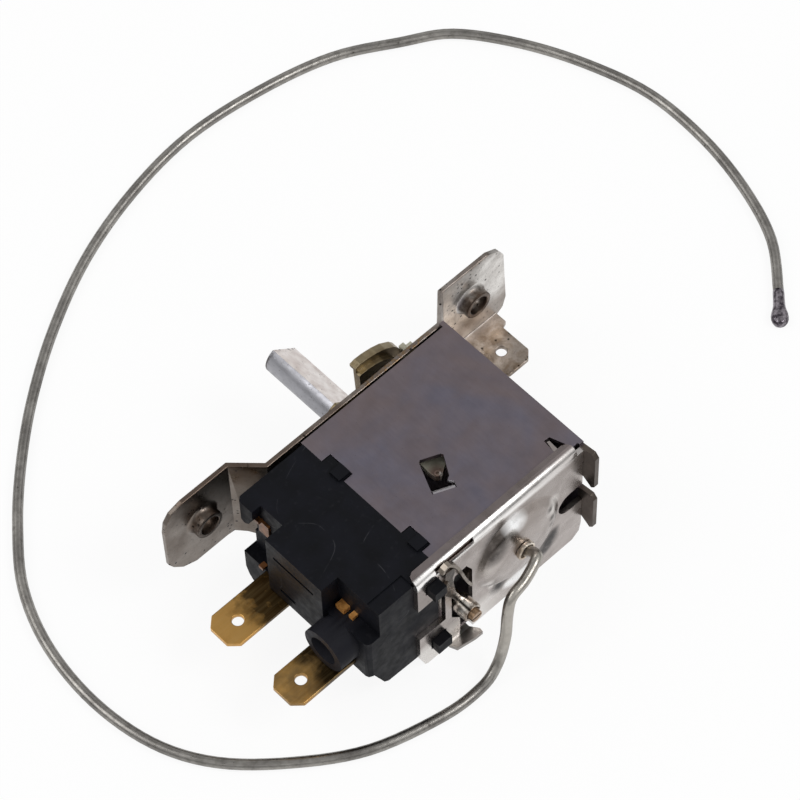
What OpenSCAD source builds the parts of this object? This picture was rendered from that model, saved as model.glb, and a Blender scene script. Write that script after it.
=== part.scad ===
// Refrigerator thermostat with rotary spindle, switch block and capillary tube.
// Millimetres. Origin on the spindle axis, midway between the two ear holes,
// on the front face of the ears. +Z is the cover plate side, the spindle points
// to -Y, the diaphragm plate is at the +Y end and the blades stand out at +X.

/* [Part] */
// Which node to draw

/* [Sheet] */
// Thickness of the steel sheet
sheet = 0.8; // [0.6:0.1:1.0]

/* [Bracket] */
// Distance between the two threaded ear holes
ear_pitch = 53.6; // [50:0.2:56]
// Thread bore radius in an ear
ear_hole_r = 1.65; // [1.4:0.05:1.8]
// Outer radius of the drawn collar round an ear hole
collar_r = 2.5; // [2.3:0.05:2.7]
// Rear end of the drawn collar
collar_y = 2.6; // [1.6:0.1:3.2]
// Front face of the middle plate of the bracket
plate_y = 4.0; // [3.8:0.1:4.4]
// Half width of the middle plate at its front face
plate_half = 16.9; // [16:0.1:17.5]
// Outer end of the ear at the blade side
ear_end_pos = 33.6; // [32:0.1:35]
// Outer end of the ear at the earth blade side
ear_end_neg = 34.2; // [32:0.1:35]
// Lower edge of the ears
ear_bottom = -10.2; // [-11:0.1:-9]
// Upper edge of the bracket
bracket_top = 7.6; // [7:0.1:8]
// Width of the earth blade
earth_width = 6.3; // [4.8:0.1:6.3]
// Middle of the earth blade
earth_x = -27.8; // [-28.2:0.1:-27.4]
// Rear end of the earth blade
earth_end_y = 10.1; // [9:0.1:14]

/* [Cover] */
// Outer face of the top wall
cover_top = 8.6; // [8.4:0.1:9.2]
// Outer face of the bottom wall
cover_bottom = -15.0; // [-16:0.1:-14.6]
// Outer face of the side wall
cover_side = -17.4; // [-18:0.1:-17]
// Edge of the top wall at the switch block
cover_edge = 11.4; // [11:0.1:12]
// Front edge of the top wall
cover_front = 5.6; // [5.3:0.1:6.5]
// Depth of the two edge notches
notch_depth = 1.7; // [1:0.1:2.2]

/* [Rear plate] */
// Front face of the rear plate
rear_y = 33.5; // [33.4:0.1:34]
// Middle of the pressed cup, across
cup_x = -3.3; // [-3.6:0.1:-3]
// Middle of the pressed cup, up
cup_z = -1.9; // [-2.2:0.1:-1.6]
// Outer radius of the pressed cup
cup_r = 8.4; // [7.8:0.1:8.4]
// Height of the cup over the plate
cup_height = 1.2; // [0.8:0.1:1.5]

/* [Switch block] */
// Outer face of the block beside the recesses
block_side = 24.2; // [23.8:0.1:24.6]
// Outer face of the raised middle part
block_middle = 25.8; // [25.2:0.1:26.4]
// Front face of the block
block_front = 6.0; // [5.6:0.1:6.2]
// Lower face of the block
block_bottom = -13.0; // [-14:0.1:-12]
// Outer radius of the screw boss
boss_r = 3.7; // [3.4:0.1:3.9]
// Bore radius of the screw boss
boss_bore_r = 2.4; // [2.3:0.1:2.7]
// End of the screw boss
boss_end = 28.6; // [27.5:0.1:29.5]
// Middle of the screw boss, front to rear
boss_y = 28.0; // [27.6:0.1:28.4]
// Middle of the screw boss, up
boss_z = -1.5; // [-1.8:0.1:-1.2]

/* [Brass blades] */
// Width of a blade
blade_width = 6.3; // [4.8:0.1:6.3]
// Thickness of a blade
blade_thick = 0.8; // [0.5:0.1:0.8]
// Upper face of the blades
blade_top = -5.4; // [-5.6:0.1:-5.2]
// Outer end of the blades
blade_end = 36.3; // [33:0.1:38]
// Middle of the front blade
blade_front_y = 14.3; // [14:0.1:14.6]
// Middle of the rear blade
blade_rear_y = 27.5; // [27.2:0.1:27.8]
// Radius of the locking hole in a blade
blade_hole_r = 0.9; // [0.8:0.05:1.0]

/* [Spindle and cam] */
// Radius of the spindle
spindle_r = 3.0; // [2.9:0.05:3.1]
// Distance of the flat from the spindle axis
flat_off = 1.05; // [0.9:0.05:2.4]
// Front end of the spindle
spindle_tip = -11.7; // [-16:0.1:-10]
// Direction of the flat from +X toward +Z
flat_angle = 133.3; // [120:0.5:146]
// Front face of the cam
cam_y = 1.0; // [0.9:0.1:1.3]
// Depth of the cam cup
cam_depth = 2.0; // [1.6:0.1:2.2]
// Turn of the spindle for the whole range
spindle_turn = 185; // [150:5:185]
// Clearance of every shaft in its bore
run_gap = 0.05; // [0.03:0.01:0.08]

/* [Follower] */
// Pivot of the follower, across
follower_x = -7.0; // [-7.3:0.1:-6.7]
// Pivot of the follower, front to rear
follower_y = 21.0; // [20.6:0.1:21.4]
// Radius of the two lever pivots
pivot_r = 1.5; // [1.3:0.05:1.6]
// Lower face of the follower
follower_z = 4.6; // [4.5:0.1:4.8]
// Turn of the follower over the whole range
follower_turn = 5.5; // [4:0.1:5.8]

/* [Main lever] */
// Pivot of the main lever, across
lever_x = 8.5; // [8.2:0.1:8.8]
// Pivot of the main lever, front to rear
lever_y = 28.5; // [28.3:0.1:28.7]
// Lower face of the main lever
lever_z = -3.2; // [-3.4:0.1:-3]
// Push pin position, front to rear
pin_y = 15.5; // [15:0.1:16]

/* [Capillary] */
// Radius of the capillary tube
tube_r = 0.85; // [0.8:0.01:0.9]

/* [Hidden] */
$fn = 48;
fit_gap = 0.03;
corner = tan(22.5) * sheet;
ear_x = ear_pitch / 2;
plate_back = plate_y + sheet;
ear_root = plate_half + plate_y;
rear_back = rear_y + sheet;
plate_bottom = cover_bottom - 0.3;
plate_seat = rear_y - fit_gap;
side_in = cover_side + sheet;
top_in = cover_top - sheet;
bottom_in = cover_bottom + sheet;

nickel = "#b9b6ae";
shell_grey = "#625c60";
phenolic = "#1f2023";
brass = "#b9a35c";
zinc_yellow = "#a8925a";
copper = "#a8643c";
silver = "#d8d8d4";
plain_steel = "#8d8a84";

// Nose of the follower against the cam
nose_in = -11.9;
nose_out = -12.8;
nose_low = 1.9;
nose_front = cam_y + 0.1;
nose_rear = cam_y + cam_depth + 0.5;
nose_top = 3.6;
cam_gap = 0.08;
cam_wall = 0.8;
cam_step = 5;
cam_lead = 19;
nose_y = cam_y + cam_depth / 2;
cam_lobe = [[9.4, 105], [9.95, 109.7], [10.4, 117.1], [11.0, 126.6], [11.55, 135.3], [12.05, 146]];
cam_heel = 145;
cam_shoulder = 1.5;

// Main lever and switch travel
lever_thick = 1.0;
pin_r = 1.2;
pin_tip_r = 0.6;
pad_gap = 0.06;
arm_face = 8.9;
arm_back = 7.9;
capsule_depth = 0.95;
pad_length = 2.29;
pad_disc = 1.25;
reach_rear = rear_y - capsule_depth - pad_length - pad_gap;
reach_front = reach_rear - lever_thick;
reach_top = 1.2;
reach_end = -5.6;
blade_x = 14.3;
spring_thick = 0.3;
bend_y = 24.3;
stand_x = blade_x + spring_thick + fit_gap;
contact_y = 10.7;
contact_r = 1.4;
contact_gap = 1.0;
fixed_x = 16.4;
fixed_thick = 0.3;
blade_low = blade_top - blade_thick;
lid_thick = 0.95;
cavity_in = cover_edge + lid_thick;
cavity_out = 21.6;
cavity_front = 8.0;
cavity_rear = 31.6;
cavity_low = -8.0;
cavity_top = 6.6;

// Range spring along X
spring_y = 11.0;
spring_z = 2.0;
spring_r = 1.8;
spring_wire = 0.25;
spring_turns = 13;
spring_coil = [-5.2, 4.6];
spring_hooks = [-8.0, 7.85];
spring_sides = 6;

// Adjusting screw behind the rear plate
range_x = 7.9;
range_z = -5.3;
sleeve_r = 1.55;
sleeve_bore = 1.15;
range_r = 1.0;
fold_r = 1.4;
fold_y = rear_back - fold_r;
fold_z = cover_top + fit_gap + sheet - fold_r;

// Capillary route, millimetres
tube_route = [
  [cup_x, rear_back, cup_z], [cup_x, rear_back + 2, cup_z + 0.05],
  [cup_x + 0.1, rear_back + 3.6, cup_z + 1.6], [cup_x + 0.9, rear_back + 4.9, cup_z + 2.5],
  [0.9, 40.3, 0.0], [4.0, 40.7, -0.8], [5.3, 41.2, -3.9], [6.3, 41.8, -8.3],
  [8.6, 42.5, -12.4], [12.2, 42.9, -14.2], [19.2, 42.3, -14.4], [30.3, 38.9, -14.4],
  [39.5, 32.8, -14.4], [47.3, 25.2, -14.4], [51.8, 16.6, -14.4], [53.5, 5.8, -14.4],
  [52.4, -5.5, -14.4], [48.7, -15.5, -14.4], [42.6, -23.9, -14.4], [35.4, -31.6, -14.4],
  [26.6, -39.3, -14.4], [15.9, -46.7, -14.4], [3.6, -53.1, -14.4], [-9.6, -57.3, -14.4],
  [-23.1, -59.2, -14.4], [-37.2, -57.9, -14.4], [-49.8, -54.7, -14.4], [-59.6, -49.2, -14.4],
  [-66.9, -44.4, -14.4], [-73.1, -35.5, -14.4], [-77.7, -25.2, -14.4], [-80.6, -13.9, -14.4],
  [-80.3, -1.9, -14.4], [-77.9, 9.1, -14.4], [-73.9, 18.6, -14.4], [-67.8, 25.8, -14.4]];
tip_start = [-67.8, 25.8, -14.4];
tip_end = [-64.3, 29.4, -14.4];
tube_ring = 4.4;
tube_sides = 8;

// Slabs of a drawn outline: along Y from an XZ outline, along X from a YZ outline
module slab_y(y0, y1) {
  translate([0, y1, 0]) rotate([90, 0, 0]) linear_extrude(y1 - y0) children();
}
module slab_x(x0, x1) {
  translate([x0, 0, 0]) rotate([90, 0, 90]) linear_extrude(x1 - x0) children();
}
module slab_z(z0, z1) {
  translate([0, 0, z0]) linear_extrude(z1 - z0) children();
}
// Round bars along one axis
module bar_y(x, z, r, y0, y1) {
  translate([x, y0, z]) rotate([-90, 0, 0]) cylinder(r = r, h = y1 - y0);
}
module bar_x(y, z, r, x0, x1) {
  translate([x0, y, z]) rotate([0, 90, 0]) cylinder(r = r, h = x1 - x0);
}
module bar_z(x, y, r, z0, z1) {
  translate([x, y, z0]) cylinder(r = r, h = z1 - z0);
}
module box(x0, x1, y0, y1, z0, z1) {
  translate([x0, y0, z0]) cube([x1 - x0, y1 - y0, z1 - z0]);
}

// Mounting bracket
module bracket_section() {
  polygon([
    [-ear_end_neg, 0], [-ear_root, 0], [-plate_half, plate_y], [plate_half, plate_y],
    [ear_root, 0], [ear_end_pos, 0], [ear_end_pos, sheet], [ear_root + corner, sheet],
    [plate_half + corner, plate_back], [-plate_half - corner, plate_back],
    [-ear_root - corner, sheet], [-ear_end_neg, sheet]]);
}
module bracket_outline() {
  polygon([
    [-ear_end_neg, ear_bottom + 3], [-ear_end_neg + 0.5, bracket_top - 3.2],
    [-ear_end_neg + 1.6, bracket_top - 1.2], [-ear_end_neg + 3.8, bracket_top],
    [ear_end_pos - 3.8, bracket_top], [ear_end_pos - 1.5, bracket_top - 0.7],
    [ear_end_pos - 0.4, bracket_top - 2.2], [ear_end_pos, bracket_top - 4.5],
    [ear_end_pos, ear_bottom + 4.6], [ear_end_pos - 0.7, ear_bottom + 3.2],
    [ear_end_pos - 2.4, ear_bottom + 1.2], [ear_end_pos - 4.9, ear_bottom],
    [22.6, ear_bottom], [19.9, ear_bottom - 0.5], [18.2, ear_bottom - 1.8],
    [17.6, ear_bottom - 3.4], [17.6, plate_bottom], [-17.6, plate_bottom],
    [-17.6, ear_bottom - 3.4], [-18.2, ear_bottom - 1.8], [-19.9, ear_bottom - 0.5],
    [-22.6, ear_bottom], [-ear_end_neg + 1.9, ear_bottom], [-ear_end_neg + 0.6, ear_bottom + 1]]);
}
module mounting_bracket() {
  earth_left = earth_x - earth_width / 2;
  earth_right = earth_x + earth_width / 2;
  color(nickel) difference() {
    union() {
      intersection() {
        slab_z(plate_bottom, bracket_top) bracket_section();
        slab_y(-1, plate_back + 1) bracket_outline();
      }
      for (s = [-1, 1]) translate([s * ear_x, 0, 0]) rotate([-90, 0, 0]) rotate_extrude() polygon([
        [0, sheet / 2], [collar_r + 0.5, sheet / 2], [collar_r + 0.45, sheet], [collar_r + 0.1, sheet + 0.3],
        [collar_r - 0.1, sheet + 0.8], [collar_r - 0.1, collar_y - 0.1], [collar_r - 0.2, collar_y],
        [0, collar_y]]);
      slab_z(ear_bottom, ear_bottom + sheet) polygon([
        [earth_left - 1.1, sheet / 2], [earth_right + 1.1, sheet / 2], [earth_right, 3],
        [earth_right, earth_end_y - 1.2], [earth_right - 1.2, earth_end_y],
        [earth_left + 1.2, earth_end_y], [earth_left, earth_end_y - 1.2], [earth_left, 3.4],
        [earth_left - 1.1, 3.0]]);
    }
    for (s = [-1, 1]) bar_y(s * ear_x, 0, ear_hole_r, -1, collar_y + 1);
    bar_y(0, 0, bush_r + fit_gap, plate_y - 1, plate_back + 1);
    box(-14.2, -6.9, plate_y - 1, plate_back + 1, follower_z - 0.4, follower_z + 1.5);
    bar_z(earth_x, 6.3, 0.85, ear_bottom - 1, ear_bottom + 2);
  }
}

// Cover shell
window = [[1.75, 19.7], [1.35, 19.5], [-1.55, 20.8], [-1.7, 21.15], [0.1, 24.2], [0.75, 24.5],
  [0.2, 25.3], [0.6, 26.3], [4.0, 24.8]];
corner_cut = [[-13.4, 29.5], [-14.4, 29.6], [-15.2, 31.9], [-15.2, 35.0], [-13.0, 35.0],
  [-13.1, 32.1]];
lip_turn = -23.8;
lip_length = 3.3;
notch_spans = [[9.9, 14.5], [26.2, 30.4]];
module cover_wall_outline(rear_end) {
  difference() {
    translate([cover_side, cover_front]) square([cover_edge - cover_side, rear_end - cover_front]);
    for (n = notch_spans)
      translate([cover_edge - notch_depth, n[0]]) square([notch_depth + 1, n[1] - n[0]]);
  }
}
module cover_tab(z_top, z_bottom) {
  slab_x(cover_side, side_in) polygon([
    [rear_y - 1, z_top - 0.6], [rear_back + 1.6, z_top], [rear_back + 2.3, z_top - 0.8],
    [rear_back + 2.3, z_bottom + 0.7], [rear_back + 1.7, z_bottom], [rear_back + 0.1, z_bottom + 1.2],
    [rear_y - 1, z_bottom + 1.2]]);
}
module cover_shell() {
  color(shell_grey) union() {
    slab_z(top_in, cover_top) difference() {
      cover_wall_outline(fold_y + 0.15);
      polygon(window);
      polygon(corner_cut);
    }
    translate([2.25, 25.45, cover_top - 1.3]) rotate([0, 0, lip_turn])
      slab_x(-lip_length / 2, lip_length / 2) polygon([
        [0.5, 1.2], [0.5, 0.6], [0, 0.5], [-0.5, 0], [-0.9, 0], [-0.9, 0.35], [-0.5, 0.9], [-0.2, 1.2]]);
    slab_z(cover_bottom, bottom_in) cover_wall_outline(plate_seat);
    box(cover_side, side_in, plate_back + fit_gap, plate_seat, cover_bottom, cover_top);
    cover_tab(cover_top, -0.3);
    cover_tab(-2.7, -11.6);
  }
}

// Rear plate with the pressed cup and the lip folded over the cover
slot_start = 5.0;
slot_end = 12.4;
slot_low = fold_z - 0.1;
slot_top = fold_z + 1.0;
lip_end = 16.0;
module rear_outline() {
  difference() {
    polygon([
      [side_in + fit_gap, fold_z], [lip_end, fold_z], [lip_end, 1.8], [10.8, 1.8], [10.8, -6.8],
      [lip_end - 0.1, -6.5], [lip_end - 0.1, -12.3], [15.0, plate_bottom + 0.4],
      [14.4, plate_bottom], [8.3, plate_bottom], [8.0, -13.4],
      [8.0, -9.8], [9.6, -7.8], [9.6, 0], [8.9, 3.2], [6.6, 3.4], [5.5, 1.2], [5.5, plate_bottom],
      [-14.8, plate_bottom], [-16.2, plate_bottom + 1.1], [side_in + fit_gap, plate_bottom + 3.1]]);
    for (l = lugs) translate([l[0] - 0.2, l[2] - 0.2]) square([l[1] - l[0] + 0.4, l[3] - l[2] + 0.4]);
    translate([-14.1, -3.4]) circle(r = 2.3);
    translate([-18, -5.7]) square([3.9, 4.6]);
    translate([cup_x, cup_z]) circle(r = cup_r - 0.2);
  }
}
module fold_outline() {
  low = cover_top + fit_gap;
  difference() {
    union() {
      translate([fold_y - 2, low]) square([2, sheet]);
      translate([fold_y, fold_z]) circle(r = fold_r);
    }
    translate([fold_y, fold_z]) circle(r = fold_r - sheet);
    translate([fold_y - 3, low - 5]) square([3, 5]);
    translate([fold_y - 3, fold_z - 5]) square([9, 5]);
  }
}
module rear_plate() {
  cup_top = sheet + cup_height;
  color(nickel) union() {
    slab_y(rear_y, rear_back) rear_outline();
    difference() {
      intersection() {
        slab_x(-15.3, lip_end) fold_outline();
        slab_z(fold_z - 1, fold_z + 3) polygon([
          [-15.3, rear_back + 1], [-15.3, fold_y + 0.2], [-14.9, fold_y - 0.5], [-14.2, fold_y - 0.8],
          [lip_end - 1, fold_y - 0.8], [lip_end - 0.3, fold_y - 0.4], [lip_end, fold_y + 0.3],
          [lip_end, rear_back + 1]]);
      }
      box(slot_start, slot_end, rear_y + 0.2, rear_back + 1, slot_low, slot_top);
    }
    slab_z(top_in + 0.05, top_in + 0.5) polygon([
      [-14.1, 29.9], [-13.7, 29.8], [-13.3, 31.4], [-13.2, rear_y + 0.2], [-14.1, rear_y + 0.2],
      [-14.0, 31.4]]);
    slab_z(plate_bottom, cover_bottom + 0.45) polygon([
      [6.3, rear_y], [6.3, rear_back + 0.1], [5.4, rear_back + 1.4], [5.5, rear_back + 2.1],
      [6.9, rear_back + 2.05], [10.0, rear_back + 1.5], [10.5, rear_back + 0.3], [10.5, rear_y]]);
    translate([cup_x, rear_y, cup_z]) rotate([-90, 0, 0]) rotate_extrude() polygon([
      [cup_r, 0], [cup_r, sheet], [cup_r - 0.45, sheet + 0.12], [cup_r - 1.0, cup_top - 0.65],
      [cup_r - 1.6, cup_top - 0.4], [cup_r - 2.6, cup_top - 0.22], [cup_r - 3.8, cup_top - 0.08],
      [cup_r - 5.0, cup_top], [2.4, cup_top + 0.1], [1.6, cup_top + 0.2],
      [tube_r + 0.2, cup_top + 0.25], [tube_r + 0.2, cup_top - sheet], [2.4, cup_top - sheet],
      [cup_r - 5.0, cup_top - sheet - 0.05], [cup_r - 2.8, cup_top - sheet - 0.2],
      [cup_r - 1.9, cup_top - sheet - 0.4], [cup_r - 1.2, 0]]);
  }
}

// Diaphragm capsule
module diaphragm_ring() {
  color(nickel) difference() {
    bar_y(cup_x, cup_z, cup_r + 0.5, plate_seat - 0.6, plate_seat);
    bar_y(cup_x, cup_z, cup_r - 0.8, plate_seat - 2, rear_back);
  }
}
module diaphragm() {
  rim = cup_r + 0.3;
  color(nickel) translate([cup_x, rear_y - 0.9, cup_z]) rotate([-90, 0, 0]) rotate_extrude() polygon([
    [0, 0], [3.2, 0], [4.2, 0.5], [5.2, 0], [rim - 2.5, 0.5], [rim - 1.5, 0], [rim, 0],
    [rim, 0.2], [rim - 1.4, 0.2], [rim - 2.5, 0.7], [5.2, 0.2], [4.2, 0.7], [3.1, 0.2], [0, 0.2]]);
}
module thrust_pad() {
  color(brass) {
    bar_y(cup_x, cup_z, 0.8, reach_rear + pad_gap, rear_y - capsule_depth - pad_disc + 0.1);
    bar_y(cup_x, cup_z, 2.6, rear_y - capsule_depth - pad_disc, rear_y - capsule_depth);
  }
}
module capillary_ferrule() {
  color(brass) difference() {
    bar_y(cup_x, cup_z, tube_r + 0.75, rear_back + cup_height + 0.25 + fit_gap, rear_back + cup_height + 1);
    bar_y(cup_x, cup_z, tube_r + 0.4, rear_back, rear_back + cup_height + 2);
  }
}

// Tube sweep: rings of points across a smooth path
function unit(v) = v / norm(v);
function spline(a, b, c, d, t) = 0.5 * (2 * b + (c - a) * t + (2 * a - 5 * b + 4 * c - d) * t * t
  + (3 * b - a - 3 * c + d) * t * t * t);
function dense(p, gap) = [for (i = [0 : len(p) - 2])
  let (n = max(1, round(norm(p[i + 1] - p[i]) / gap)))
  for (k = [0 : n - 1]) spline(p[max(i - 1, 0)], p[i], p[i + 1], p[min(i + 2, len(p) - 1)], k / n),
  p[len(p) - 1]];
function ahead(p, i) = unit(p[min(i + 1, len(p) - 1)] - p[max(i - 1, 0)]);
function side_of(t, ref) = unit(cross(t, ref));
module tube(p, r, sides, ref) {
  n = len(p);
  ring = [for (i = [0 : n - 1]) let (t = ahead(p, i), a = side_of(t, ref), b = cross(t, a))
    for (k = [0 : sides - 1]) p[i] + r * (cos(360 * k / sides) * a + sin(360 * k / sides) * b)];
  walls = [for (i = [0 : n - 2]) for (k = [0 : sides - 1])
    let (a = i * sides + k, b = i * sides + (k + 1) % sides)
      each [[a, a + sides, b + sides], [a, b + sides, b]]];
  first = [for (k = [0 : sides - 1]) k];
  last = [for (k = [0 : sides - 1]) n * sides - 1 - k];
  polyhedron(points = ring, faces = concat([first, last], walls), convexity = 8);
}
module capillary_tube() {
  color(nickel) tube(dense(tube_route, tube_ring), tube_r, tube_sides, [0.9, 0, 0.436]);
}
module capillary_tip() {
  run = tip_end - tip_start;
  turn = atan2(run[1], run[0]);
  color(plain_steel) translate(tip_start) rotate([0, 0, turn]) {
    rotate([0, 90, 0]) cylinder(r = 0.9, h = norm(run) - 1.2);
    slab_z(-0.85, 0.85) polygon([
      [norm(run) - 2.6, -0.8], [norm(run) - 1.9, -1.15], [norm(run) - 0.9, -1.3],
      [norm(run) - 0.3, -1.0], [norm(run), -0.45], [norm(run), 0.45],
      [norm(run) - 0.3, 1.0], [norm(run) - 0.9, 1.3], [norm(run) - 1.9, 1.15],
      [norm(run) - 2.6, 0.8]]);
  }
}

// Adjuster at the rear
module adjuster_clamp() {
  color(zinc_yellow) union() {
    difference() {
      bar_y(range_x, range_z, sleeve_r, rear_back - 0.4, rear_back + 2.6);
      bar_y(range_x, range_z, sleeve_bore, rear_y, rear_back + 4);
      box(range_x - 3, range_x, rear_y, rear_back + 4, range_z - 0.12, range_z + 0.12);
    }
    slab_y(rear_back + fit_gap, rear_back + fit_gap + 0.6) polygon([
      [range_x - 0.3, range_z + 1.3], [range_x + 0.9, range_z + 1.1], [range_x + 1.9, range_z + 4],
      [range_x + 3.4, range_z + 6.6], [range_x + 3.5, range_z + 9], [range_x + 2.8, range_z + 10.2],
      [range_x + 3.4, range_z + 11.2], [range_x + 3.3, range_z + 12.9], [range_x + 1.6, range_z + 12.7],
      [range_x + 1.5, range_z + 11.2], [range_x + 1.9, range_z + 10.2], [range_x + 1.8, range_z + 8.8],
      [range_x + 1.4, range_z + 5.6]]);
  }
}
hood_line = [[12.2, 9.0], [11.8, 9.7], [11.1, 10.05], [10.4, 9.8], [9.5, 8.6], [8.8, 7.0],
  [8.3, 5.2], [7.7, 3.0], [7.0, 0.9], [6.3, -0.8]];
hood_sheet = 0.45;
module adjuster_hood() {
  n = len(hood_line) - 1;
  inner = [for (i = [0 : n])
    let (t = hood_line[min(i + 1, n)] - hood_line[max(i - 1, 0)])
      hood_line[i] + hood_sheet / norm(t) * [t[1], -t[0]] * -1];
  color(plain_steel) slab_y(rear_back + 0.15, rear_back + 1.05)
    polygon(concat(hood_line, [for (i = [0 : n]) inner[n - i]]));
}
module range_screw() {
  color(brass) difference() {
    bar_y(range_x, range_z, range_r, 31.2, 37.7);
    box(range_x - 2, range_x + 2, 37.2, 38, range_z - 0.15, range_z + 0.15);
  }
}

// Switch block
mid_front = 13.7;
well_front = 25.2;
well_in = 22.6;
well_floor = 2.1;
ledge_out = block_side + 0.8;
ledge_low = -7.5;
nose_end = 9.2;
step_z = -5.2;
base_out = 22.2;
lugs = [[12.1, 14.3, 4.9, 6.9], [10.9, 13.5, -12.0, -9.7]];
block_plan = [[cover_edge, block_front], [block_side - 0.6, block_front], [block_side, block_front + 0.6],
  [block_side, nose_end], [well_in - 0.1, nose_end], [well_in - 0.1, mid_front],
  [block_middle, mid_front], [block_middle, well_front], [well_in, well_front],
  [well_in, plate_seat], [cover_edge, plate_seat]];
copper_bits = [[22.2, 22.9, 8.8, 10.9, 1.6, 4.7], [22.2, 23.3, 8.0, 9.3, 4.2, 4.8],
  [22.0, 23.8, 25.7, 27.4, well_floor, well_floor + 1.0],
  [22.0, 23.6, 28.2, 29.0, well_floor + 0.1, well_floor + 0.8],
  [23.6, 24.6, 10.0, 10.9, step_z - 0.3, step_z + 0.3]];
module switch_block() {
  color(phenolic) difference() {
    union() {
      slab_z(step_z, cover_top) polygon(block_plan);
      slab_y(block_front + 0.6, plate_seat) polygon([
        [cover_edge, step_z + 0.2], [base_out, step_z + 0.2], [base_out, block_bottom + 1.1],
        [base_out - 0.8, block_bottom + 0.4], [16, block_bottom], [cover_edge, block_bottom]]);
      slab_x(base_out - 1, block_side + 0.1) polygon([
        [block_front + 0.6, step_z], [block_front + 0.6, -9.7], [block_front + 1.2, -11.3],
        [block_front + 2.0, -12.3], [block_front + 3.2, block_bottom + 0.4],
        [mid_front - 1, block_bottom + 0.6],
        [mid_front - 1, step_z]]);
      slab_z(ledge_low, well_floor) polygon([
        [base_out - 1, well_front], [ledge_out, well_front], [ledge_out, plate_seat - 0.8],
        [ledge_out - 0.2, plate_seat - 0.3], [ledge_out - 0.8, plate_seat], [base_out - 1, plate_seat]]);
      slab_y(well_front + 0.3, plate_seat) polygon([
        [base_out - 1, ledge_low + 0.1], [ledge_out - 0.9, ledge_low + 0.1], [base_out, block_bottom + 1.1],
        [base_out - 1, block_bottom + 0.6]]);
      bar_x(boss_y, boss_z, boss_r, cavity_out, boss_end);
      for (n = notch_spans) {
        box(cover_edge - notch_depth + 0.15, cover_edge + 1, n[0] + 0.15, n[1] - 0.15, top_in, cover_top);
        box(cover_edge - notch_depth + 0.15, cover_edge + 0.6, n[1] - 2.3, n[1] - 0.3,
          top_in, cover_top + 0.5);
      }
      box(lugs[0][0], lugs[0][1], rear_y - 1, rear_back + 1.8, lugs[0][2], lugs[0][3]);
      box(lugs[1][0], lugs[1][1], rear_y - 1, rear_back + 1.4, lugs[1][2], lugs[1][3]);
    }
    box(lip_end + 0.1, block_middle + 1, 31.1, rear_y, cover_top - 0.25, cover_top + 1);
    box(cover_edge - 1, lip_end + 0.2, fold_y + 0.15, rear_y, fold_z - 0.1, cover_top + 1);
    box(cover_edge - 3, cavity_in, cavity_front, cavity_rear, cavity_low, cavity_top);
    box(cavity_in - 1, cavity_out, cavity_front, cavity_rear, cavity_low, cavity_top);
    bar_x(boss_y, boss_z, boss_bore_r, boss_seat, boss_end + 1);
    bar_x(boss_y, boss_z, screw_r + run_gap, cavity_out - 1, boss_end);
    for (y = [blade_front_y, blade_rear_y])
      box(cavity_out - 1, block_middle + 3, y - blade_width / 2 - fit_gap, y + blade_width / 2 + fit_gap,
        blade_low - fit_gap, blade_top + fit_gap);
    slab_x(20.7, block_middle) polygon([
      [block_front - 1, 4.9], [block_front, 4.9], [block_front + 0.5, 3.9], [block_front + 1.3, 3.4],
      [cavity_front - 0.6, 3.5], [cavity_front - 0.6, step_z], [block_front - 1, step_z]]);
    slab_x(well_in - 0.1, block_middle) polygon([
      [block_front - 1, 4.9], [block_front, 4.9], [block_front + 0.5, 3.9], [block_front + 1.3, 3.4],
      [block_front + 2.2, 4.2], [block_front + 3, 6.3], [mid_front, 6.3], [mid_front, step_z],
      [block_front - 1, step_z]]);
    slab_x(cavity_out + 0.5, block_middle) polygon([
      [block_front - 1, -0.3], [cavity_front, -0.3], [cavity_front, 3.5], [block_front - 1, 3.5]]);
    for (b = copper_bits)
      box(b[0] - fit_gap, b[1] + fit_gap, b[2] - fit_gap, b[3] + fit_gap, b[4] - fit_gap, b[5] + fit_gap);
    box(block_middle - 2.2, block_middle + 1, 15.1, 23.4, 4.9, 5.5);
    box(block_middle - 1.2, block_middle + 1, 16.1, 19.2, -3.2, -2.4);
  }
}
module switch_lid() {
  color(phenolic) difference() {
    box(cover_edge, cavity_in - fit_gap, cavity_front + fit_gap, cavity_rear - fit_gap,
      cavity_low + fit_gap, cavity_top - fit_gap);
    bar_x(pin_y, boss_z, pin_r + run_gap, 10, 14);
  }
}
screw_r = 1.25;
boss_seat = 24.2;
module differential_screw() {
  color(brass) difference() {
    union() {
      bar_x(boss_y, boss_z, screw_r, stand_x + blade_thick + fit_gap, boss_seat + 1);
      bar_x(boss_y, boss_z, boss_bore_r - 0.3, boss_seat + 0.1, boss_seat + 2.6);
    }
    box(boss_seat + 1.8, boss_end, boss_y - 3, boss_y + 3, boss_z - 0.35, boss_z + 0.35);
  }
}

// Brass blades with their inner upstands
module blade_strip(y, x0) {
  y0 = y - blade_width / 2;
  y1 = y + blade_width / 2;
  difference() {
    slab_z(blade_low, blade_top) polygon([
      [x0, y0], [blade_end - 1.5, y0], [blade_end, y0 + 1.4], [blade_end, y1 - 1.4],
      [blade_end - 1.5, y1], [x0, y1]]);
    bar_z(blade_end - 3.7, y, blade_hole_r, blade_low - 1, blade_top + 1);
  }
}
module terminal_front() {
  color(brass) union() {
    blade_strip(blade_front_y, fixed_x + fixed_thick);
    box(fixed_x + fixed_thick, fixed_x + fixed_thick + blade_thick, 9.0, blade_front_y + 1, blade_low, 0.4);
  }
}
module terminal_rear() {
  color(brass) union() {
    blade_strip(blade_rear_y, stand_x);
    box(stand_x, stand_x + blade_thick, blade_rear_y - blade_width / 2,
      blade_rear_y + blade_width / 2, blade_low, 0.6);
  }
}
module contact_springs() {
  color(copper) {
    for (b = copper_bits) box(b[0], b[1], b[2], b[3], b[4], b[5]);
  }
}
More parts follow.
